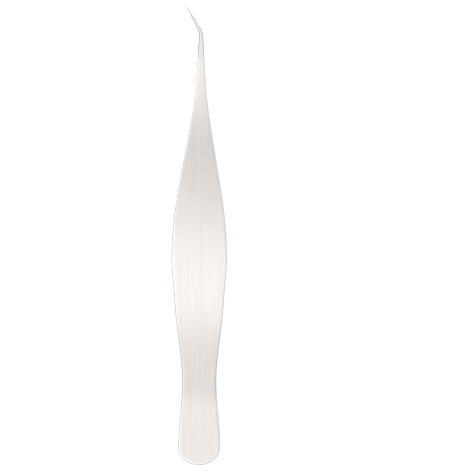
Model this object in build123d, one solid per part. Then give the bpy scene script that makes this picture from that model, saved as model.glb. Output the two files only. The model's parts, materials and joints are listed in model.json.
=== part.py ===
from build123d import *
import math
import os

# Curved precision tweezers: two bowed steel arms, welded flat to flat at the heel, with needle
# points that turn to the left. They lie on the outer face of the lower arm, as on a bench: X is to
# the right, Y runs from the heel to the points, and the origin is under the middle, on the bench.

# Places along one arm, from heel to point
HEEL_END = 4.9  # the round end, from its tip to the heel's widest place
WAIST_FROM_HEEL = 16.5
GRIP_FROM_WAIST = 22.3
BELLY_FROM_GRIP = 9.4
SHOULDER_FROM_BELLY = 16.2
NECK_FROM_SHOULDER = 22.9
CORNER_FROM_NECK = 20.4
TIP_LENGTH = 8.6  # from the corner of the bend to the point
BEND_ANGLE = 29.5
BEND_RADIUS = 4.0
NECK_LEAN = 0.5  # how far the neck stands to the right of the heel

# Width of one arm's face, with its change for each millimetre along where it isn't at rest
HEEL_WIDTH = 11.0
WAIST_WIDTH = 8.85
GRIP_WIDTH = 13.05
GRIP_FLARE = 0.09
BELLY_WIDTH = 14.45
SHOULDER_WIDTH = 11.9
SHOULDER_TAPER = -0.32
NECK_WIDTH = 4.25
NECK_TAPER = -0.285
BEND_WIDTH = 1.17
BEND_TAPER = -0.12
POINT_WIDTH = 0.15

# Rise of one arm's inner face above the plane where the two arms meet
WELD_LENGTH = 13.0  # the flat, welded stretch, from the very end of the heel
WELD_SPLAY = 0.06  # slope at which the inner face leaves the weld
CREST_FROM_WELD = 50.0
CREST_RISE = 4.6
FALL_FROM_CREST = 21.0  # to where the inner face comes down most steeply
FALL_RISE = 3.7
FALL_SLOPE = -0.068
HOLLOW_FROM_FALL = 13.0  # to where it turns out again, towards the point
HOLLOW_RISE = 3.2
POINT_RISE = 3.6
POINT_SPLAY = 0.02

# Thickness of one arm
HEEL_THICKNESS = 1.6
SPRING_FROM_WELD = 14.0
SPRING_THICKNESS = 1.15
BELLY_THICKNESS = 1.25
NECK_THICKNESS = 1.15
BEND_THICKNESS = 0.85
BEND_THINNING = -0.05
POINT_THICKNESS = 0.15

# Edges of the cross-section
OUTER_ROUND = 0.5
INNER_BREAK = 0.15
OUTER_ROUND_SHARE = 0.42  # most of the width, or of the thickness, that one outer round takes
INNER_BREAK_SHARE = 0.14

# Longest span between the cross-sections of each loft, and between the points under the lower arm
BLADE_SPAN = 5.0
BEND_SPAN = 0.7
UNDERSIDE_SPAN = 0.3

HEEL_AT = HEEL_END
WAIST_AT = HEEL_AT + WAIST_FROM_HEEL
GRIP_AT = WAIST_AT + GRIP_FROM_WAIST
BELLY_AT = GRIP_AT + BELLY_FROM_GRIP
SHOULDER_AT = BELLY_AT + SHOULDER_FROM_BELLY
NECK_AT = SHOULDER_AT + NECK_FROM_SHOULDER
BEND_TURN = math.radians(BEND_ANGLE)
BEND_TANGENT = BEND_RADIUS * math.tan(BEND_TURN / 2)
BEND_AT = NECK_AT + CORNER_FROM_NECK - BEND_TANGENT
BEND_END_AT = BEND_AT + BEND_RADIUS * BEND_TURN
POINT_AT = BEND_END_AT + TIP_LENGTH - BEND_TANGENT
SPRING_AT = WELD_LENGTH + SPRING_FROM_WELD
CREST_AT = WELD_LENGTH + CREST_FROM_WELD
FALL_AT = CREST_AT + FALL_FROM_CREST
HOLLOW_AT = FALL_AT + HOLLOW_FROM_FALL


def rule(*stations):
    """A smooth rule through stations of (place along the arm, value there, slope there)."""

    def value(at):
        for start, end in zip(stations, stations[1:]):
            if at <= end[0]:
                break
        span = end[0] - start[0]
        t = (at - start[0]) / span
        from_start = (1 + 2 * t) * (1 - t) ** 2 * start[1] + t * (1 - t) ** 2 * span * start[2]
        from_end = (3 - 2 * t) * t**2 * end[1] - (1 - t) * t**2 * span * end[2]
        return from_start + from_end

    return value


width_at = rule(
    (HEEL_AT, HEEL_WIDTH, 0),
    (WAIST_AT, WAIST_WIDTH, 0),
    (GRIP_AT, GRIP_WIDTH, GRIP_FLARE),
    (BELLY_AT, BELLY_WIDTH, 0),
    (SHOULDER_AT, SHOULDER_WIDTH, SHOULDER_TAPER),
    (NECK_AT, NECK_WIDTH, NECK_TAPER),
    (BEND_AT, BEND_WIDTH, BEND_TAPER),
    (POINT_AT, POINT_WIDTH, (POINT_WIDTH - BEND_WIDTH) / (POINT_AT - BEND_AT)),
)
rise_at = rule(
    (0, 0, 0),
    (WELD_LENGTH, 0, 0),
    (WELD_LENGTH, 0, WELD_SPLAY),
    (CREST_AT, CREST_RISE, 0),
    (FALL_AT, FALL_RISE, FALL_SLOPE),
    (HOLLOW_AT, HOLLOW_RISE, 0),
    (POINT_AT, POINT_RISE, POINT_SPLAY),
)
thickness_at = rule(
    (0, HEEL_THICKNESS, 0),
    (WELD_LENGTH, HEEL_THICKNESS, 0),
    (WELD_LENGTH, HEEL_THICKNESS, -WELD_SPLAY),
    (SPRING_AT, SPRING_THICKNESS, 0),
    (BELLY_AT, BELLY_THICKNESS, 0),
    (NECK_AT, NECK_THICKNESS, 0),
    (BEND_AT, BEND_THICKNESS, BEND_THINNING),
    (POINT_AT, POINT_THICKNESS, (POINT_THICKNESS - BEND_THICKNESS) / (POINT_AT - BEND_AT)),
)
lean_at = rule(
    (0, 0, 0),
    (BELLY_AT, 0, 0),
    (BEND_AT, NECK_LEAN, 0),
)


def places(start, end, longest):
    """Even places along the arm from start to end, no further apart than the longest span."""
    spans = math.ceil((end - start) / longest)
    return [start + (end - start) * i / spans for i in range(spans + 1)]


def section_plane(at):
    """The plane across the arm at a place along its centre line, with its local x to the right."""
    straight = min(at, BEND_AT)
    turn = min(max(at - BEND_AT, 0) / BEND_RADIUS, BEND_TURN)
    past = max(at - BEND_END_AT, 0)
    x = lean_at(straight) - BEND_RADIUS * (1 - math.cos(turn)) - past * math.sin(turn)
    y = straight + BEND_RADIUS * math.sin(turn) + past * math.cos(turn)
    return Plane(
        origin=(x, y, 0),
        x_dir=(math.cos(turn), math.sin(turn), 0),
        z_dir=(math.sin(turn), -math.cos(turn), 0),
    )


def section(at):
    """The arm's cross-section: flat and crisp on the inside, with wide rounds on its outer edges."""
    side = width_at(at) / 2
    low = rise_at(at)
    high = low + thickness_at(at)
    room = min(2 * side, high - low)
    outer = min(OUTER_ROUND, OUTER_ROUND_SHARE * room)
    inner = min(INNER_BREAK, INNER_BREAK_SHARE * room)
    outline = FilletPolyline(
        (side - inner, low),
        (side, low + inner),
        (side, high),
        (-side, high),
        (-side, low + inner),
        (-side + inner, low),
        radius=[0, 0, outer, outer, 0, 0],
        close=True,
    )
    return section_plane(at) * make_face(outline)


def heel():
    """The flat heel: a plate with a round end that narrows to the waist, cut off where the weld ends."""
    third = WAIST_FROM_HEEL / 3
    right = Bezier(
        (HEEL_WIDTH / 2, HEEL_AT),
        (HEEL_WIDTH / 2, HEEL_AT + third),
        (WAIST_WIDTH / 2, WAIST_AT - third),
        (WAIST_WIDTH / 2, WAIST_AT),
    )
    end = EllipticalCenterArc((0, HEEL_AT), HEEL_WIDTH / 2, HEEL_END, start_angle=180, arc_size=180)
    waist = Line((WAIST_WIDTH / 2, WAIST_AT), (-WAIST_WIDTH / 2, WAIST_AT))
    plate = extrude(make_face([end, right, waist, mirror(right, Plane.YZ)]), HEEL_THICKNESS)
    plate = fillet(rim(plate, HEEL_THICKNESS), OUTER_ROUND)
    plate = chamfer(rim(plate, 0), INNER_BREAK)
    return split(plate, Plane.XZ.offset(-WELD_LENGTH), keep=Keep.TOP)


def rim(plate, height):
    """The edges round the heel plate at a height, without the straight one across the waist."""
    level = plate.edges().filter_by_position(Axis.Z, height, height)
    return level.filter_by(lambda edge: edge.center().Y < WAIST_AT - INNER_BREAK)


def blade(start_face):
    """The arm from the end of the weld to the bend, as one loft that grows out of the heel."""
    return loft([start_face] + [section(at) for at in places(WELD_LENGTH, BEND_AT, BLADE_SPAN)[1:]])


def stretch(start, end, longest):
    """The arm between two places past the blade, as a loft over spans no longer than the longest."""
    return loft([section(at) for at in places(start, end, longest)])


def arm():
    """One arm, above the plane where the two meet."""
    plate = heel()
    bend = stretch(BEND_AT, BEND_END_AT, BEND_SPAN)
    point = stretch(BEND_END_AT, POINT_AT, TIP_LENGTH)
    return plate + blade(plate.faces().sort_by(Axis.Y)[-1]) + bend + point


def cross(first, second, third):
    """Twice the area that three points (y, z) span, positive where they turn to the left."""
    return (second[0] - first[0]) * (third[1] - first[1]) - (second[1] - first[1]) * (third[0] - first[0])


def underside():
    """The convex outline under the lower arm, as points (y, z) from the heel to the point."""
    hull = []
    for at in places(OUTER_ROUND, POINT_AT, UNDERSIDE_SPAN):
        point = (section_plane(at).origin.Y, -rise_at(at) - thickness_at(at))
        while len(hull) > 1 and cross(hull[-2], hull[-1], point) <= 0:
            hull.pop()
        hull.append(point)
    return hull


def lying(both):
    """The move that lays the two arms down, on the part of the underside that their weight finds."""
    centre = both.center(CenterOf.MASS)
    hull = underside()
    edges = zip(hull, hull[1:])
    low, high = min(edges, key=lambda edge: cross(*edge, (centre.Y, centre.Z)) / math.dist(*edge))
    tilt = math.degrees(math.atan2(high[1] - low[1], high[0] - low[0]))
    box = (Rot(X=-tilt) * both).bounding_box()
    return Pos(-box.center().X, -box.center().Y, -box.min.Z) * Rot(X=-tilt)


def main():
    os.makedirs("parts", exist_ok=True)
    upper = arm()
    lower = mirror(upper, Plane.XY)
    to_bench = lying(Compound([upper, lower]))
    export_step(to_bench * upper, "parts/upper_arm.step")
    export_step(to_bench * lower, "parts/lower_arm.step")


main()
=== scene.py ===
"""Looks of the curved tweezers: two bowed arms of brushed steel on a pale bench, under soft light."""

import json
import logging
import math
from dataclasses import dataclass, field, fields
from enum import Enum
from itertools import accumulate, pairwise
from types import SimpleNamespace
from typing import Sequence, Union

import bpy
from mathutils import Matrix, Vector


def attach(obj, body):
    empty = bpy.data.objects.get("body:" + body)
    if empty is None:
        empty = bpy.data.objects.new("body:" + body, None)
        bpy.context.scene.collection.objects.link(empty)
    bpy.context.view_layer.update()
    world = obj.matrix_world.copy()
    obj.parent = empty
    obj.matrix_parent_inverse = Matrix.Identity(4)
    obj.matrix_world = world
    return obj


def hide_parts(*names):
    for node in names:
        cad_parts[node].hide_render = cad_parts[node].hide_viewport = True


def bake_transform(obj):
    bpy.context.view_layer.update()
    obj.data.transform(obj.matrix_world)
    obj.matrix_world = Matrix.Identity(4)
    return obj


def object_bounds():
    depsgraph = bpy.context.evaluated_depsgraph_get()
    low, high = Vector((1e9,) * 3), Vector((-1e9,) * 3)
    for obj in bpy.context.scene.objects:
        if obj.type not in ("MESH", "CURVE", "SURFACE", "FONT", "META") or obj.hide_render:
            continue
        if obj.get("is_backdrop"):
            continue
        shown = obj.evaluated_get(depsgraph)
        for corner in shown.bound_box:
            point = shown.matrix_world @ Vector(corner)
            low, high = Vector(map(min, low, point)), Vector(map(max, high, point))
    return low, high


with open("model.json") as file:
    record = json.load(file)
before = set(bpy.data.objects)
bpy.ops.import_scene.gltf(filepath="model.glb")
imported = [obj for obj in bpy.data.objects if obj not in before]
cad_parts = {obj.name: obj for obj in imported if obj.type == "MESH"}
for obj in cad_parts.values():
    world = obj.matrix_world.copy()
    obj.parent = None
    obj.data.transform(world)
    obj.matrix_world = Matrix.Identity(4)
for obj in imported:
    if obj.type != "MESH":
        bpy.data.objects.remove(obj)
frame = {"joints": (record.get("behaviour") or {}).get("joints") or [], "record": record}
CAD_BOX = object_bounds()
MM = 0.001
QUARTER_TURN = math.pi / 2
HALFWAY = 0.5  # between two whole numbers, to tell rows or columns apart, or between 0 and 1
WHITE = (1.0, 1.0, 1.0, 1.0)
log = logging.getLogger("tweezers")


@dataclass(frozen=True)
class Field:
    """A number that a node tree works out, one for each point, so that formulas read as they are."""

    sheet: "NodeSheet"
    socket: bpy.types.NodeSocket

    def __add__(self, other: "Number") -> "Field":
        """This number plus another."""
        return self.sheet.math("ADD", self, other)

    def __sub__(self, other: "Number") -> "Field":
        """This number less another."""
        return self.sheet.math("SUBTRACT", self, other)

    def __mul__(self, other: "Number") -> "Field":
        """This number times another."""
        return self.sheet.math("MULTIPLY", self, other)

    def __truediv__(self, other: "Number") -> "Field":
        """This number divided by another."""
        return self.sheet.math("DIVIDE", self, other)

    def __rsub__(self, other: float) -> "Field":
        """A plain number less this one."""
        return self.sheet.math("SUBTRACT", other, self)

    __radd__ = __add__
    __rmul__ = __mul__


Number = Union[Field, float]
Colour = tuple[float, float, float]


@dataclass(frozen=True)
class Station:
    """A place along the arm where a rule's value and its change for each metre along are known."""

    at: Number
    value: Number
    slope: Number = 0.0


class NodeSheet:
    """A node tree being drawn up, with one short call for each kind of node that the tweezers need."""

    def __init__(self, tree: bpy.types.NodeTree) -> None:
        """Starts on a tree.

        Args:
            tree: the node tree that gets the nodes.
        """
        self.tree = tree

    def add(self, kind: str, **settings: object) -> bpy.types.Node:
        """Adds a node.

        Args:
            kind: the node's type name.
            **settings: properties of the node and their values.

        Returns:
            The new node.
        """
        node = self.tree.nodes.new(kind)
        for name, value in settings.items():
            setattr(node, name, value)
        return node

    def feed(self, socket: bpy.types.NodeSocket, value: object) -> None:
        """Gives an input socket its value.

        Args:
            socket: the input.
            value: a field or a socket, which is linked, or a plain value, which is set.
        """
        if isinstance(value, Field):
            value = value.socket
        if isinstance(value, bpy.types.NodeSocket):
            self.tree.links.new(value, socket)
        else:
            socket.default_value = value

    def feed_in_order(self, node: bpy.types.Node, *values: object) -> None:
        """Gives a node's inputs their values.

        Args:
            node: the node.
            *values: what its inputs get, from the first on, where None leaves one as it is.
        """
        for socket, value in zip(node.inputs, values):
            if value is not None:
                self.feed(socket, value)

    def math(self, operation: str, *values: Number) -> Field:
        """Works out a sum, a product or another plain operation.

        Args:
            operation: the operation's name.
            *values: what it works on, in order.

        Returns:
            The result.
        """
        node = self.add("ShaderNodeMath", operation=operation)
        self.feed_in_order(node, *values)
        return Field(self, node.outputs[0])

    def share(self, value: Number, low: Number, high: Number) -> Field:
        """Works out how far a value is from low to high, and never outside.

        Args:
            value: the value.
            low: where the share is 0.
            high: where the share is 1.

        Returns:
            The share, from 0 to 1.
        """
        node = self.add("ShaderNodeMapRange", clamp=True)
        self.feed_in_order(node, value, low, high)
        return Field(self, node.outputs[0])

    def ease(self, value: Number, low: Number, high: Number) -> Field:
        """Works out how far a value is from low to high, with a soft start and end.

        Args:
            value: the value.
            low: where the share is 0.
            high: where the share is 1.

        Returns:
            The share, from 0 to 1.
        """
        node = self.add("ShaderNodeMapRange", interpolation_type="SMOOTHSTEP")
        self.feed_in_order(node, value, low, high)
        return Field(self, node.outputs[0])

    def choose(self, test: Number, low: Number, high: Number) -> Field:
        """Picks one of two values, or a mix of them.

        Args:
            test: 0 for the low value, 1 for the high one.
            low: the value at 0.
            high: the value at 1.

        Returns:
            The picked value.
        """
        node = self.add("ShaderNodeMix", data_type="FLOAT")
        self.feed_in_order(node, test, None, low, high)
        return Field(self, node.outputs[0])

    def tint(self, share: Number, dark: Colour, pale: Colour) -> bpy.types.NodeSocket:
        """Mixes two colours.

        Args:
            share: 0 for the dark colour, 1 for the pale one.
            dark: the colour at 0.
            pale: the colour at 1.

        Returns:
            The mixed colour.
        """
        node = self.add("ShaderNodeMix", data_type="RGBA")
        inputs = {socket.identifier: socket for socket in node.inputs}
        self.feed(inputs["Factor_Float"], share)
        self.feed(inputs["A_Color"], (*dark, 1.0))
        self.feed(inputs["B_Color"], (*pale, 1.0))
        return next(socket for socket in node.outputs if socket.identifier == "Result_Color")

    def vector(self, x: Number, y: Number, z: Number) -> bpy.types.NodeSocket:
        """Puts a vector together.

        Args:
            x: its first part.
            y: its second part.
            z: its third part.

        Returns:
            The vector.
        """
        node = self.add("ShaderNodeCombineXYZ")
        self.feed_in_order(node, x, y, z)
        return node.outputs[0]

    def seen(self) -> Field:
        """1 where a surface is looked at straight, and 0 where it only lights or is reflected."""
        return Field(self, self.add("ShaderNodeLightPath").outputs["Is Camera Ray"])


class GeometrySheet(NodeSheet):
    """The node tree that makes one piece's mesh, with named inputs for its sizes."""

    def __init__(self, name: str) -> None:
        """Starts an empty tree.

        Args:
            name: the tree's name.
        """
        super().__init__(bpy.data.node_groups.new(name, "GeometryNodeTree"))
        self.tree.interface.new_socket("Geometry", in_out="OUTPUT", socket_type="NodeSocketGeometry")
        self.entry = self.add("NodeGroupInput")
        self.exit = self.add("NodeGroupOutput")

    def sizes(self, owner: object) -> SimpleNamespace:
        """Makes a named input for each size of a dataclass.

        Args:
            owner: the dataclass whose fields are the sizes.

        Returns:
            The inputs' fields, under the names of the sizes.
        """
        found = SimpleNamespace()
        for entry in fields(owner):
            title = entry.name.replace("_", " ").capitalize()
            made = self.tree.interface.new_socket(title, in_out="INPUT", socket_type="NodeSocketFloat")
            made.default_value = getattr(owner, entry.name)
            setattr(found, entry.name, Field(self, self.entry.outputs[title]))
        return found

    def through(self, geometry: bpy.types.NodeSocket, kind: str, **inputs: object) -> bpy.types.NodeSocket:
        """Puts the mesh through one more node.

        Args:
            geometry: the mesh so far.
            kind: the node's type name.
            **inputs: the node's other inputs, by name, and what they get.

        Returns:
            The mesh after the node.
        """
        node = self.add(kind)
        self.feed(node.inputs[0], geometry)
        for title, value in inputs.items():
            self.feed(node.inputs[title], value)
        return node.outputs[0]

    def span(self, at: Number, start: Station, end: Station) -> tuple[Field, Field]:
        """Works out a smooth stretch between two stations.

        Args:
            at: the place along the arm.
            start: the station where the stretch begins.
            end: the station where it ends.

        Returns:
            The value at the place, and its slope there.
        """
        group = self.add("GeometryNodeGroup", node_tree=smooth_span())
        self.feed_in_order(group, at, start.at, end.at, start.value, end.value, start.slope, end.slope)
        return Field(self, group.outputs["Value"]), Field(self, group.outputs["Slope"])

    def rule(self, at: Number, stations: Sequence[Station]) -> tuple[Field, Field]:
        """Works out a smooth curve through a row of stations.

        Args:
            at: the place along the arm.
            stations: the stations, from the heel on.

        Returns:
            The value at the place, and its slope there.
        """
        value, slope = self.span(at, stations[0], stations[1])
        for start, end in pairwise(stations[1:]):
            further = self.math("GREATER_THAN", at, start.at)
            next_value, next_slope = self.span(at, start, end)
            value = self.choose(further, value, next_value)
            slope = self.choose(further, slope, next_slope)
        return value, slope

    def keep(self, geometry: bpy.types.NodeSocket, name: str, kind: str, domain: str,
             value: object) -> bpy.types.NodeSocket:
        """Stores a value on the mesh, for the finish to read.

        Args:
            geometry: the mesh.
            name: the attribute's name.
            kind: its data type.
            domain: what it is kept for, such as POINT or CORNER.
            value: the value.

        Returns:
            The mesh with the attribute.
        """
        node = self.add("GeometryNodeStoreNamedAttribute", data_type=kind, domain=domain)
        self.feed(node.inputs["Geometry"], geometry)
        self.feed(node.inputs["Name"], name)
        self.feed(node.inputs["Value"], value)
        return node.outputs["Geometry"]


def smooth_span() -> bpy.types.NodeTree:
    """Makes the group that runs smoothly between two stations: a cubic with a given slope at each end.

    Returns:
        The group, made at the first call and shared after that.
    """
    name = "smooth span"
    if name in bpy.data.node_groups:
        return bpy.data.node_groups[name]
    tree = bpy.data.node_groups.new(name, "GeometryNodeTree")
    titles = ("At", "Start", "End", "Start value", "End value", "Start slope", "End slope")
    for title in titles:
        tree.interface.new_socket(title, in_out="INPUT", socket_type="NodeSocketFloat")
    for title in ("Value", "Slope"):
        tree.interface.new_socket(title, in_out="OUTPUT", socket_type="NodeSocketFloat")
    sheet = NodeSheet(tree)
    entry = sheet.add("NodeGroupInput")
    leave = sheet.add("NodeGroupOutput")
    given = (Field(sheet, entry.outputs[title]) for title in titles)
    at, start, end, low, high, low_slope, high_slope = given
    length = end - start
    t = (at - start) / length
    rest = 1.0 - t
    smooth = t * t * (3.0 - 2.0 * t)
    value = low + (high - low) * smooth + length * t * rest * (low_slope * rest - high_slope * t)
    steep = 6.0 * (high - low) / length * t * rest
    slope = steep + low_slope * rest * (1.0 - 3.0 * t) + high_slope * t * (3.0 * t - 2.0)
    sheet.feed(leave.inputs["Value"], value)
    sheet.feed(leave.inputs["Slope"], slope)
    return tree


@dataclass(frozen=True)
class BrushedSteel:
    """Satin stainless steel, brushed lengthwise, with its edges rubbed smooth.

    The grain attribute runs round the arm in x and along it in y, in metres. The rim attribute is 1 on the
    rounded edges and 0 on the faces. The spring attribute is 1 on the stretch that bends, where the colour
    is darkened as painted shade, and the point attribute is 1 towards the point, where the colour is
    brightened as a painted highlight.
    """

    name: str = "brushed steel"
    pale: Colour = (0.90, 0.86, 0.83)
    dark: Colour = (0.80, 0.755, 0.72)
    streak_width: float = 0.16 * MM
    streak_length: float = 9.0 * MM
    streak_detail: float = 4.0  # sizes of finer streak within a streak
    band_width: float = 1.1 * MM
    band_length: float = 30.0 * MM
    band_detail: float = 2.0
    finer_share: float = 0.6  # how strong each finer size of streak is
    streak_share: float = 0.6  # the streaks' part of the colour's change, with the bands' as the rest
    faintest: float = 0.25  # the noise at which a streak starts to show, and at which it shows in full
    strongest: float = 0.75
    grain_depth: float = 0.0012 * MM
    face_roughness: float = 0.27
    streak_roughness: float = 0.07
    rim_roughness: float = 0.16
    rim_rubbing: float = 0.8  # how much of the grain is rubbed off the rim
    anisotropy: float = 0.55
    # darkens the colour on the spring stretch: painted shade
    spring_painted_shade: float = 0.81
    # brightens the colour towards the point: a painted highlight
    point_painted_highlight: float = 1.08

    def make(self) -> bpy.types.Material:
        """Builds the material.

        Returns:
            The material, ready to be set on an arm.
        """
        material = bpy.data.materials.new(self.name)
        material.use_nodes = True
        material.node_tree.nodes.clear()
        sheet = NodeSheet(material.node_tree)
        grain = sheet.add("ShaderNodeUVMap", uv_map="grain").outputs["UV"]
        fine = self.streaks(sheet, grain, self.streak_width, self.streak_length, self.streak_detail)
        broad = self.streaks(sheet, grain, self.band_width, self.band_length, self.band_detail)
        rim = self.attribute(sheet, "rim")
        face = self.face_roughness + self.streak_roughness * (fine - HALFWAY)
        tangent = sheet.add("ShaderNodeTangent", direction_type="UV_MAP", uv_map="grain")
        steel = sheet.add("ShaderNodeBsdfPrincipled")
        sheet.feed(steel.inputs["Base Color"], self.colour(sheet, fine, broad))
        sheet.feed(steel.inputs["Metallic"], 1.0)
        sheet.feed(steel.inputs["Roughness"], sheet.choose(rim, face, self.rim_roughness))
        sheet.feed(steel.inputs["Anisotropic"], self.anisotropy)
        sheet.feed(steel.inputs["Normal"], self.relief(sheet, fine, rim))
        sheet.feed(steel.inputs["Tangent"], tangent.outputs["Tangent"])
        out = sheet.add("ShaderNodeOutputMaterial")
        sheet.feed(out.inputs["Surface"], steel.outputs["BSDF"])
        return material

    def attribute(self, sheet: NodeSheet, name: str) -> Field:
        """A value that the arm's mesh keeps for the finish."""
        return Field(sheet, sheet.add("ShaderNodeAttribute", attribute_name=name).outputs["Fac"])

    def colour(self, sheet: NodeSheet, fine: Field, broad: Field) -> bpy.types.NodeSocket:
        """Colours the steel by its streaks, with painted shade on the spring and a painted highlight towards
        the point.

        Args:
            sheet: the material's tree.
            fine: the fine streaks.
            broad: the broad bands.

        Returns:
            The colour.
        """
        # Painted shade on the spring and a painted highlight towards the point scale the streaked colour
        spring = sheet.choose(self.attribute(sheet, "spring"), 1.0, self.spring_painted_shade)
        point = sheet.choose(self.attribute(sheet, "point"), 1.0, self.point_painted_highlight)
        shade = self.streak_share * fine + (1.0 - self.streak_share) * broad
        colour = sheet.add("ShaderNodeVectorMath", operation="SCALE")
        sheet.feed(colour.inputs[0], sheet.tint(shade, self.dark, self.pale))
        sheet.feed(colour.inputs["Scale"], spring * point)
        return colour.outputs[0]

    def relief(self, sheet: NodeSheet, fine: Field, rim: Field) -> bpy.types.NodeSocket:
        """Raises the fine streaks a little, and less on the rim.

        Args:
            sheet: the material's tree.
            fine: the fine streaks.
            rim: 1 on the rim, 0 on the faces.

        Returns:
            The surface's normal.
        """
        bump = sheet.add("ShaderNodeBump")
        sheet.feed(bump.inputs["Strength"], 1.0 - self.rim_rubbing * rim)
        sheet.feed(bump.inputs["Distance"], self.grain_depth)
        sheet.feed(bump.inputs["Height"], fine)
        return bump.outputs["Normal"]

    def streaks(self, sheet: NodeSheet, grain: bpy.types.NodeSocket, width: float, length: float,
                detail: float) -> Field:
        """Makes uneven streaks that run along the arm.

        Args:
            sheet: the material's tree.
            grain: the grain attribute.
            width: how wide one streak is.
            length: how long one streak is.
            detail: how many finer sizes of streak are in it.

        Returns:
            The streaks, from 0 to 1.
        """
        stretch = sheet.add("ShaderNodeVectorMath", operation="MULTIPLY")
        sheet.feed_in_order(stretch, grain, (1 / width, 1 / length, 1.0))
        noise = sheet.add("ShaderNodeTexNoise", noise_dimensions="2D")
        sheet.feed(noise.inputs["Vector"], stretch.outputs[0])
        sheet.feed(noise.inputs["Scale"], 1.0)
        sheet.feed(noise.inputs["Detail"], detail)
        sheet.feed(noise.inputs["Roughness"], self.finer_share)
        return sheet.share(Field(sheet, noise.outputs["Fac"]), self.faintest, self.strongest)


@dataclass(frozen=True)
class ArmShape:
    """The sizes of one arm: metres, slopes in metres for each metre along, and angles in radians."""

    # Places along the arm, from heel to point
    heel_end: float = 4.9 * MM
    waist_from_heel: float = 16.5 * MM
    grip_from_waist: float = 22.3 * MM
    belly_from_grip: float = 9.4 * MM
    shoulder_from_belly: float = 16.2 * MM
    neck_from_shoulder: float = 22.9 * MM
    corner_from_neck: float = 20.4 * MM
    tip_length: float = 8.6 * MM
    bend_angle: float = math.radians(29.5)
    bend_radius: float = 4.0 * MM
    neck_lean: float = 0.5 * MM
    # Width of the arm's face
    heel_width: float = 11.0 * MM
    waist_width: float = 8.85 * MM
    grip_width: float = 13.05 * MM
    grip_flare: float = 0.09
    belly_width: float = 14.45 * MM
    shoulder_width: float = 11.9 * MM
    shoulder_taper: float = -0.32
    neck_width: float = 4.25 * MM
    neck_taper: float = -0.285
    bend_width: float = 1.17 * MM
    bend_taper: float = -0.12
    point_width: float = 0.15 * MM
    # Rise of the inner face above the plane where the two arms meet
    weld_length: float = 13.0 * MM
    weld_splay: float = 0.06
    crest_from_weld: float = 50.0 * MM
    crest_rise: float = 4.6 * MM
    fall_from_crest: float = 21.0 * MM
    fall_rise: float = 3.7 * MM
    fall_slope: float = -0.068
    hollow_from_fall: float = 13.0 * MM
    hollow_rise: float = 3.2 * MM
    point_rise: float = 3.6 * MM
    point_splay: float = 0.02
    # Thickness
    heel_thickness: float = 1.6 * MM
    spring_from_weld: float = 14.0 * MM
    spring_thickness: float = 1.15 * MM
    belly_thickness: float = 1.25 * MM
    neck_thickness: float = 1.15 * MM
    bend_thickness: float = 0.85 * MM
    bend_thinning: float = -0.05
    point_thickness: float = 0.15 * MM
    # Edges and crown of the cross-section
    outer_round: float = 0.5 * MM
    inner_break: float = 0.15 * MM
    outer_round_share: float = 0.42
    inner_break_share: float = 0.14
    crown_radius: float = 300.0 * MM
    rim_width: float = 0.35 * MM
    rim_share: float = 0.06
    neck_bevel: float = 0.26 * MM
    neck_bevel_share: float = 0.27
    neck_bevel_lean: float = 1.2


class Side(Enum):
    """Which way an arm bows from the plane where the two meet."""

    UPPER = 1.0
    LOWER = -1.0


@dataclass(frozen=True)
class Lie:
    """How the tweezers lie on the bench, read from the frame."""

    tilt: float
    weld_front: Vector

    @classmethod
    def from_frame(cls) -> "Lie":
        """Reads the tilt from the heel's upper face, and the weld's front edge from the joint.

        Returns:
            How the tweezers lie.
        """
        heel = next(m for m in frame["record"]["mounts"] if m["name"] == "heel_top")
        return cls(math.atan2(-heel["axis"][1], heel["axis"][2]), Vector(frame["joints"][0]["pos_m"]))

    def place(self, shape: ArmShape) -> Matrix:
        """Works out the move from the arms' own axes, with the heel's end at the origin, to the bench.

        Args:
            shape: the arm's sizes.

        Returns:
            The move.
        """
        turn = Matrix.Rotation(self.tilt, 4, "X")
        heel = self.weld_front - turn @ Vector((0, shape.weld_length, 0))
        return Matrix.Translation(heel) @ turn


@dataclass(frozen=True)
class ArmMesh:
    """How finely the arm's skin is divided, and how near two points are where they are one."""

    end_rows: int = 22
    heel_rows: int = 30
    blade_rows: int = 520
    fill_steps: int = 3
    break_steps: int = 2
    round_steps: int = 7
    seam: float = 0.0005 * MM

    @property
    def weld_row(self) -> int:
        """The row where the weld ends and the blade begins."""
        return self.end_rows + self.heel_rows

    @property
    def point_row(self) -> int:
        """The last row that goes round the arm."""
        return self.weld_row + self.blade_rows

    @property
    def rows(self) -> int:
        """All rows of points, with one past the point's row that is drawn together and closes it."""
        return self.point_row + 2

    @property
    def stretches(self) -> tuple[int, ...]:
        """Columns of each stretch from the middle of the inner face to the middle of the outer face."""
        return (self.fill_steps, 1, self.break_steps, 1, self.round_steps, 1, self.fill_steps)

    @property
    def half(self) -> int:
        """Columns from the middle of the inner face round to the middle of the outer face."""
        return sum(self.stretches)


@dataclass(frozen=True)
class Outline:
    """The arm's outline at each row of points.

    It holds the row's place along the arm, half of the outline's width there, the width of the sheet that an
    edge is rounded in, and the outline's run along the arm and its flare outwards, as sides of a unit step.
    """

    along: Field
    half: Field
    sheet_width: Field
    run: Field
    flare: Field


@dataclass(frozen=True)
class EdgeWalk:
    """Where each point is on the way round half of the cross-section.

    It holds the point's inset from the outline, its height above the inner face, its spread from 0 at the
    middle to 1 at the rim, and the shares for the rim, the inner face and the outer face.
    """

    inset: Field
    height: Field
    spread: Field
    rim: Field
    inner: Field
    outer: Field


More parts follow.
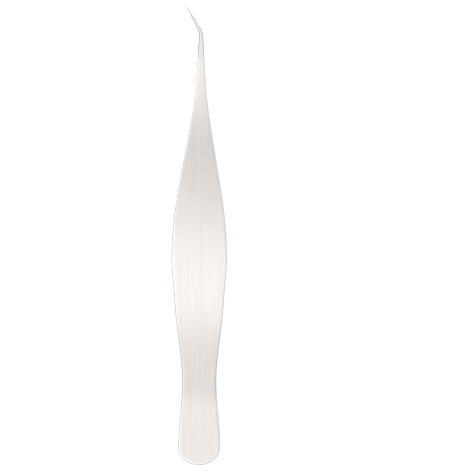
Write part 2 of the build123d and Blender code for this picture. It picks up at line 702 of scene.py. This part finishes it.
@dataclass
class Arm:
    """One arm of the tweezers: flat heel, bowed blade, slim neck and a needle point bent to the left."""

    name: str
    node: str
    side: Side
    shape: ArmShape = field(default_factory=ArmShape)
    mesh: ArmMesh = field(default_factory=ArmMesh)

    def build(self, lie: Lie, finish: bpy.types.Material) -> bpy.types.Object:
        """Makes the arm's skin by its node tree and turns it into a plain mesh.

        Args:
            lie: how the tweezers lie.
            finish: the arm's material.

        Returns:
            The arm, at the origin, with its place in its mesh.
        """
        sheet = GeometrySheet(f"{self.name} skin")
        skin = self.skin(sheet, sheet.sizes(self.shape))
        place = lie.place(self.shape)
        move = {"Translation": place.to_translation(), "Rotation": place.to_euler()}
        skin = sheet.through(skin, "GeometryNodeTransform", **move)
        skin = sheet.through(skin, "GeometryNodeRealizeInstances")
        skin = sheet.through(skin, "GeometryNodeSetMaterial", Material=finish)
        sheet.feed(sheet.exit.inputs["Geometry"], skin)
        return self.plain_mesh(sheet)

    def plain_mesh(self, sheet: GeometrySheet) -> bpy.types.Object:
        """Runs the tree on an empty mesh and keeps the result.

        Args:
            sheet: the arm's finished tree.

        Returns:
            An object with the result as its mesh and no modifier.
        """
        piece = bpy.data.objects.new(self.name, bpy.data.meshes.new(self.name))
        bpy.context.scene.collection.objects.link(piece)
        maker = piece.modifiers.new("skin", "NODES")
        maker.node_group = sheet.tree
        inputs = [s for s in sheet.tree.interface.items_tree if s.in_out == "INPUT"]
        for socket, entry in zip(inputs, fields(self.shape)):
            maker[socket.identifier] = getattr(self.shape, entry.name)
        evaluated = piece.evaluated_get(bpy.context.evaluated_depsgraph_get())
        skin = bpy.data.meshes.new_from_object(evaluated)
        piece.modifiers.clear()
        piece.data = skin
        return piece

    def skin(self, sheet: GeometrySheet, size: SimpleNamespace) -> bpy.types.NodeSocket:
        """Bends a grid of points round the arm: its rows run across the arm, its columns along it.

        Args:
            sheet: the arm's tree.
            size: the tree's named sizes.

        Returns:
            The closed skin, in the arm's own axes.
        """
        mesh = self.mesh
        grid = sheet.add("GeometryNodeMeshGrid")
        sheet.feed(grid.inputs["Vertices X"], 2 * mesh.half + 1)
        sheet.feed(grid.inputs["Vertices Y"], mesh.rows)
        index = Field(sheet, sheet.add("GeometryNodeInputIndex").outputs[0])
        row = sheet.math("MODULO", index, mesh.rows)
        column = sheet.math("FLOOR", (index + HALFWAY) / mesh.rows)
        right = sheet.math("LESS_THAN", column, mesh.half + HALFWAY)
        hand = 2.0 * right - 1.0
        step = sheet.choose(right, 2 * mesh.half - column, column)

        at = self.places(sheet, size)
        outline = self.outline(sheet, size, at, row)
        rise, thickness = self.bow(sheet, size, at, outline.along)
        ground = sheet.ease(outline.along, at.neck, at.bend)
        edge = self.edge(sheet, size, step, outline.sheet_width, thickness, ground)
        drawn = sheet.math("LESS_THAN", row, mesh.point_row + HALFWAY)
        across = hand * (outline.half - edge.inset * outline.run) * edge.spread * drawn
        forward = outline.along + edge.inset * outline.flare * drawn
        crown = across * across / (2.0 * size.crown_radius) * edge.outer
        up = rise + thickness / 2.0 + (edge.height - crown - thickness / 2.0) * drawn
        x, y = self.bend(sheet, size, at, across, forward)
        place = sheet.vector(x, y, self.side.value * up)
        skin = sheet.through(grid.outputs["Mesh"], "GeometryNodeSetPosition", Position=place)

        inwards = outline.half - sheet.math("ABSOLUTE", across)
        around = hand * (outline.half - inwards * (1.0 - 2.0 * edge.inner) + thickness - edge.height)
        skin = self.grain(sheet, skin, around, forward)
        skin = self.tones(sheet, skin, at, outline.along, edge.rim)
        return self.seal(sheet, skin)

    def places(self, sheet: GeometrySheet, size: SimpleNamespace) -> SimpleNamespace:
        """Works out where along the arm each of its stations is.

        Args:
            sheet: the arm's tree.
            size: the tree's named sizes.

        Returns:
            The stations' places, measured along the centre line from the heel's end.
        """
        at = SimpleNamespace()
        at.heel = size.heel_end
        at.waist = at.heel + size.waist_from_heel
        at.grip = at.waist + size.grip_from_waist
        at.belly = at.grip + size.belly_from_grip
        at.shoulder = at.belly + size.shoulder_from_belly
        at.neck = at.shoulder + size.neck_from_shoulder
        tangent = size.bend_radius * sheet.math("TANGENT", size.bend_angle / 2.0)
        at.bend = at.neck + size.corner_from_neck - tangent
        at.bend_end = at.bend + size.bend_radius * size.bend_angle
        at.point = at.bend_end + size.tip_length - tangent
        at.weld = size.weld_length
        at.spring = at.weld + size.spring_from_weld
        at.crest = at.weld + size.crest_from_weld
        at.fall = at.crest + size.fall_from_crest
        at.hollow = at.fall + size.hollow_from_fall
        return at

    def outline(self, sheet: GeometrySheet, size: SimpleNamespace, at: SimpleNamespace,
                row: Field) -> Outline:
        """Works out the outline at each row: a round heel end, then straight on by the rule for the width.

        Args:
            sheet: the arm's tree.
            size: the tree's named sizes.
            at: the stations' places.
            row: the number of the row, from 0 at the heel's end.

        Returns:
            The outline.
        """
        mesh = self.mesh
        turn = sheet.share(row, 0, mesh.end_rows) * QUARTER_TURN
        sine = sheet.math("SINE", turn)
        cosine = sheet.math("COSINE", turn)
        in_heel = sheet.share(row, mesh.end_rows, mesh.weld_row)
        in_blade = sheet.share(row, mesh.weld_row, mesh.point_row)
        in_end = at.heel * (1.0 - cosine)
        along = in_end + (at.weld - at.heel) * in_heel + (at.point - at.weld) * in_blade
        taper = (size.point_width - size.bend_width) / (at.point - at.bend)
        width, flare = sheet.rule(along, [
            Station(at.heel, size.heel_width),
            Station(at.waist, size.waist_width),
            Station(at.grip, size.grip_width, size.grip_flare),
            Station(at.belly, size.belly_width),
            Station(at.shoulder, size.shoulder_width, size.shoulder_taper),
            Station(at.neck, size.neck_width, size.neck_taper),
            Station(at.bend, size.bend_width, size.bend_taper),
            Station(at.point, size.point_width, taper),
        ])
        straight = sheet.math("GREATER_THAN", row, mesh.end_rows - HALFWAY)
        sheet_width = sheet.choose(straight, size.heel_width, width)
        half = sheet.choose(straight, size.heel_width * sine, width) / 2.0
        run = sheet.choose(straight, size.heel_end * sine, 1.0)
        flare = sheet.choose(straight, size.heel_width * cosine, flare) / 2.0
        step = sheet.math("SQRT", run * run + flare * flare)
        return Outline(along, half, sheet_width, run / step, flare / step)

    def bow(self, sheet: GeometrySheet, size: SimpleNamespace, at: SimpleNamespace,
            along: Field) -> tuple[Field, Field]:
        """Works out how the arm bows away from the other one past the weld, and how thick it is.

        Args:
            sheet: the arm's tree.
            size: the tree's named sizes.
            at: the stations' places.
            along: the place along the arm.

        Returns:
            The rise of the inner face above the plane where the two arms meet, and the thickness.
        """
        rise, _ = sheet.rule(along, [
            Station(at.weld, 0.0, size.weld_splay),
            Station(at.crest, size.crest_rise),
            Station(at.fall, size.fall_rise, size.fall_slope),
            Station(at.hollow, size.hollow_rise),
            Station(at.point, size.point_rise, size.point_splay),
        ])
        thinning = (size.point_thickness - size.bend_thickness) / (at.point - at.bend)
        thickness, _ = sheet.rule(along, [
            Station(at.weld, size.heel_thickness, -1.0 * size.weld_splay),
            Station(at.spring, size.spring_thickness),
            Station(at.belly, size.belly_thickness),
            Station(at.neck, size.neck_thickness),
            Station(at.bend, size.bend_thickness, size.bend_thinning),
            Station(at.point, size.point_thickness, thinning),
        ])
        bowed = sheet.math("GREATER_THAN", along, at.weld)
        return rise * bowed, sheet.choose(bowed, size.heel_thickness, thickness)

    def edge(self, sheet: GeometrySheet, size: SimpleNamespace, step: Field, width: Field,
             thickness: Field, ground: Field) -> EdgeWalk:
        """Walks round half of the cross-section, from the middle of one face to that of the other.

        The outer edges are round on the heel and the blade, and ground to a bevel on the neck and the point.

        Args:
            sheet: the arm's tree.
            size: the tree's named sizes.
            step: how many columns the point is from the middle of the inner face.
            width: the arm's width.
            thickness: the arm's thickness.
            ground: 0 where the outer edges are round, 1 where they are bevelled.

        Returns:
            Where each point is on the way.
        """
        room = sheet.math("MINIMUM", width, thickness)
        outer = sheet.math("MINIMUM", size.outer_round, size.outer_round_share * room)
        inner = sheet.math("MINIMUM", size.inner_break, size.inner_break_share * room)
        bevel = sheet.math("MINIMUM", size.neck_bevel, size.neck_bevel_share * room)
        margin = sheet.math("MINIMUM", size.rim_width, size.rim_share * width)
        stops = [0, *accumulate(self.mesh.stretches)]
        walks = [sheet.share(step, low, high) for low, high in pairwise(stops)]
        inner_fill, inner_rim, inner_walk, wall, outer_walk, outer_rim, outer_fill = walks
        inner_turn = inner_walk * QUARTER_TURN
        outer_turn = outer_walk * QUARTER_TURN
        rounded_in = outer * (1.0 - sheet.math("COSINE", outer_turn))
        inward = sheet.choose(ground, rounded_in, bevel * size.neck_bevel_lean * outer_walk)
        upward = sheet.choose(ground, outer * sheet.math("SINE", outer_turn), bevel * outer_walk)
        broken_in = inner * (1.0 - sheet.math("SINE", inner_turn))
        broken_up = inner * (1.0 - sheet.math("COSINE", inner_turn))
        upright = thickness - inner - sheet.choose(ground, outer, bevel)
        inner_face_end = stops[2] + HALFWAY
        return EdgeWalk(
            inset=broken_in + inward + margin * (1.0 - inner_rim + outer_rim),
            height=broken_up + upright * wall + upward,
            spread=inner_fill * (1.0 - outer_fill),
            rim=inner_rim * (1.0 - outer_rim),
            inner=sheet.math("LESS_THAN", step, inner_face_end),
            outer=wall,
        )

    def bend(self, sheet: GeometrySheet, size: SimpleNamespace, at: SimpleNamespace, across: Field,
             forward: Field) -> tuple[Field, Field]:
        """Carries each point of the straight arm round the bend.

        Args:
            sheet: the arm's tree.
            size: the tree's named sizes.
            at: the stations' places.
            across: how far the point is to the right of the centre line.
            forward: how far it is along the centre line.

        Returns:
            The point's x and y in the arm's own axes.
        """
        straight = sheet.math("MINIMUM", forward, at.bend)
        turn = sheet.share(forward, at.bend, at.bend_end) * size.bend_angle
        past = sheet.math("MAXIMUM", forward - at.bend_end, 0.0)
        sine = sheet.math("SINE", turn)
        cosine = sheet.math("COSINE", turn)
        lean = size.neck_lean * sheet.ease(straight, at.belly, at.bend)
        x = lean - size.bend_radius * (1.0 - cosine) - past * sine + across * cosine
        y = straight + size.bend_radius * sine + past * cosine + across * sine
        return x, y

    def grain(self, sheet: GeometrySheet, skin: bpy.types.NodeSocket, around: Field,
              forward: Field) -> bpy.types.NodeSocket:
        """Stores the way of the grain, as a UV map.

        Args:
            sheet: the arm's tree.
            skin: the skin.
            around: how far a point is round the arm.
            forward: how far it is along the arm.

        Returns:
            The skin with its grain.
        """
        grain = sheet.add("GeometryNodeFieldOnDomain", data_type="FLOAT_VECTOR", domain="POINT")
        sheet.feed(grain.inputs[0], sheet.vector(around, forward, 0.0))
        return sheet.keep(skin, "grain", "FLOAT2", "CORNER", grain.outputs[0])

    def tones(self, sheet: GeometrySheet, skin: bpy.types.NodeSocket, at: SimpleNamespace, along: Field,
              rim: Field) -> bpy.types.NodeSocket:
        """Stores where the rim's finish is rubbed, where painted shade darkens the spring and where a
        painted highlight brightens the point.

        Args:
            sheet: the arm's tree.
            skin: the skin.
            at: the stations' places.
            along: the place along the arm.
            rim: 1 on the rim, 0 on the faces.

        Returns:
            The skin with its rim, spring and point attributes.
        """
        # The spring mask is where painted shade darkens the colour
        spring = sheet.ease(along, at.weld, at.waist) * (1.0 - sheet.ease(along, at.spring, at.grip))
        # The point mask is where a painted highlight brightens the colour
        point = sheet.ease(along, at.fall, at.bend)
        for name, value in (("rim", rim), ("spring", spring), ("point", point)):
            skin = sheet.keep(skin, name, "FLOAT", "POINT", value)
        return skin

    def seal(self, sheet: GeometrySheet, skin: bpy.types.NodeSocket) -> bpy.types.NodeSocket:
        """Closes the skin's seams and turns its faces outwards.

        Args:
            sheet: the arm's tree.
            skin: the skin.

        Returns:
            The closed skin.
        """
        skin = sheet.through(skin, "GeometryNodeMergeByDistance", Distance=self.mesh.seam)
        skin = sheet.through(skin, "GeometryNodeSetShadeSmooth")
        if self.side is Side.LOWER:
            return skin
        return sheet.through(skin, "GeometryNodeFlipFaces")

    def join(self, piece: bpy.types.Object, lie: Lie) -> None:
        """Lets the arm stand for its solid: hides the solid, fixes the lower arm to the lower body and bakes
        the upper arm's place into its mesh.

        Args:
            piece: the arm's finished object.
            lie: how the tweezers lie; not used.
        """
        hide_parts(self.node)
        if self.side is Side.LOWER:
            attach(piece, "lower")
            return
        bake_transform(piece)


@dataclass(frozen=True)
class Sky:
    """Soft studio light from all sides: a bright ring, a pale ceiling and a dim horizon.

    A wide strip above the heel is the brightest place in the ceiling, and it gets dusky towards the points,
    so that the bow of the arms shows as a slow change from bright to grey along them.
    """

    horizon: float = 0.30
    horizon_lean: float = 0.55
    ring: float = 1.62
    ring_start: float = 0.10
    ring_full: float = 0.55
    ring_lean: float = 0.20
    ceiling: float = 0.91
    ceiling_lean: float = 0.35
    ceiling_start: float = 0.72
    ceiling_full: float = 0.90
    strip: float = 0.52
    strip_place: float = 0.28
    strip_width: float = 0.32
    dusk: float = 0.15
    dusk_start: float = 0.02
    dusk_full: float = 0.12
    backdrop: float = 1.0
    below: float = 0.9

    def light(self) -> None:
        """Makes the world and gives it to the scene."""
        world = bpy.data.worlds.new("studio")
        world.use_nodes = True
        world.node_tree.nodes.clear()
        sheet = NodeSheet(world.node_tree)
        parts = sheet.add("ShaderNodeSeparateXYZ")
        sheet.feed(parts.inputs[0], sheet.add("ShaderNodeTexCoord").outputs["Generated"])
        x, y, z = (Field(sheet, socket) for socket in parts.outputs)
        ring = self.ring * (1.0 - self.ring_lean * x)
        horizon = self.horizon * (1.0 + self.horizon_lean * x)
        wall = sheet.choose(sheet.ease(z, self.ring_start, self.ring_full), horizon, ring)
        off = (y + self.strip_place) / self.strip_width
        strip = sheet.math("EXPONENT", -1.0 * (off * off))
        dusk = 1.0 - self.dusk * sheet.ease(y, self.dusk_start, self.dusk_full)
        ceiling = (self.ceiling + self.strip * strip) * dusk * (1.0 - self.ceiling_lean * x)
        dome = sheet.choose(sheet.ease(z, self.ceiling_start, self.ceiling_full), wall, ceiling)
        dome = sheet.choose(sheet.math("LESS_THAN", z, 0.0), dome, self.below)
        light = sheet.add("ShaderNodeBackground")
        sheet.feed(light.inputs["Strength"], sheet.choose(sheet.seen(), dome, self.backdrop))
        out = sheet.add("ShaderNodeOutputWorld")
        sheet.feed(out.inputs["Surface"], light.outputs["Background"])
        bpy.context.scene.world = world


@dataclass(frozen=True)
class Bench:
    """The plain pale surface under the tweezers, lit through from below so that shadows stay faint."""

    reach: float = 4.0
    colour: Colour = (0.80, 0.80, 0.80)
    roughness: float = 0.9
    gloss: float = 0.1
    glow: float = 0.55

    def build(self) -> bpy.types.Object:
        """Makes the bench top.

        Returns:
            The bench, marked as stage.
        """
        square = ((-1, -1), (1, -1), (1, 1), (-1, 1))
        mesh = bpy.data.meshes.new("bench")
        mesh.from_pydata([(x * self.reach, y * self.reach, 0.0) for x, y in square], [], [(0, 1, 2, 3)])
        bench = bpy.data.objects.new("bench", mesh)
        bpy.context.scene.collection.objects.link(bench)
        mesh.materials.append(self.paint())
        bench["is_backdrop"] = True
        return bench

    def paint(self) -> bpy.types.Material:
        """Makes the bench's matt paint.

        Returns:
            The paint.
        """
        paint = bpy.data.materials.new("pale bench")
        paint.use_nodes = True
        sheet = NodeSheet(paint.node_tree)
        surface = paint.node_tree.nodes["Principled BSDF"]
        sheet.feed(surface.inputs["Base Color"], (*self.colour, 1.0))
        sheet.feed(surface.inputs["Roughness"], self.roughness)
        sheet.feed(surface.inputs["Specular IOR Level"], self.gloss)
        sheet.feed(surface.inputs["Emission Color"], WHITE)
        sheet.feed(surface.inputs["Emission Strength"], self.glow * sheet.seen())
        return paint


@dataclass(frozen=True)
class Camera:
    """A long lens, square to the plane between the arms, framed as the photograph is."""

    picture: float = 473.0
    pixel: float = 0.26 * MM
    heel_row: float = 465.3
    middle_column: float = 199.2
    lens: float = 1000.0
    sensor: float = 36.0
    sight: float = 4.0  # how far it sees, in distances to the tweezers

    def build(self, lie: Lie, shape: ArmShape) -> bpy.types.Object:
        """Makes the camera and gives it to the scene.

        Args:
            lie: how the tweezers lie.
            shape: the arm's sizes.

        Returns:
            The camera.
        """
        right = (self.picture / 2 - self.middle_column) * self.pixel
        ahead = (self.heel_row - self.picture / 2) * self.pixel
        distance = self.picture * self.pixel * self.lens / self.sensor
        data = bpy.data.cameras.new("camera")
        data.lens = self.lens
        data.sensor_width = self.sensor
        data.clip_end = self.sight * distance
        camera = bpy.data.objects.new("camera", data)
        bpy.context.scene.collection.objects.link(camera)
        camera.matrix_world = lie.place(shape) @ Matrix.Translation((right, ahead, distance))
        bpy.context.scene.camera = camera
        return camera


def corners(box: tuple[Vector, Vector]) -> list[list[float]]:
    """The lowest and highest corner of a box, as plain lists."""
    return [list(corner) for corner in box]


def main() -> None:
    """Makes both arms, lights them and frames them."""
    logging.basicConfig(level=logging.INFO, format="%(name)s: %(message)s")
    lie = Lie.from_frame()
    steel = BrushedSteel().make()
    arms = [
        Arm("upper_arm_skin", "upper_arm", Side.UPPER),
        Arm("lower_arm_skin", "lower_arm", Side.LOWER),
    ]
    for arm in arms:
        piece = arm.build(lie, steel)
        arm.join(piece, lie)
        mesh = piece.data
        log.info("%s: %d points, %d faces", piece.name, len(mesh.vertices), len(mesh.polygons))
    Bench().build()
    Sky().light()
    Camera().build(lie, arms[0].shape)
    bpy.context.scene.view_settings.view_transform = "Standard"
    sizes = {"cad": corners(CAD_BOX), "visual": corners(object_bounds())}
    for name, (low, high) in sizes.items():
        log.info("%s size in millimetres: %s", name, [round((b - a) / MM, 2) for a, b in zip(low, high)])


if __name__ == "__main__":
    main()
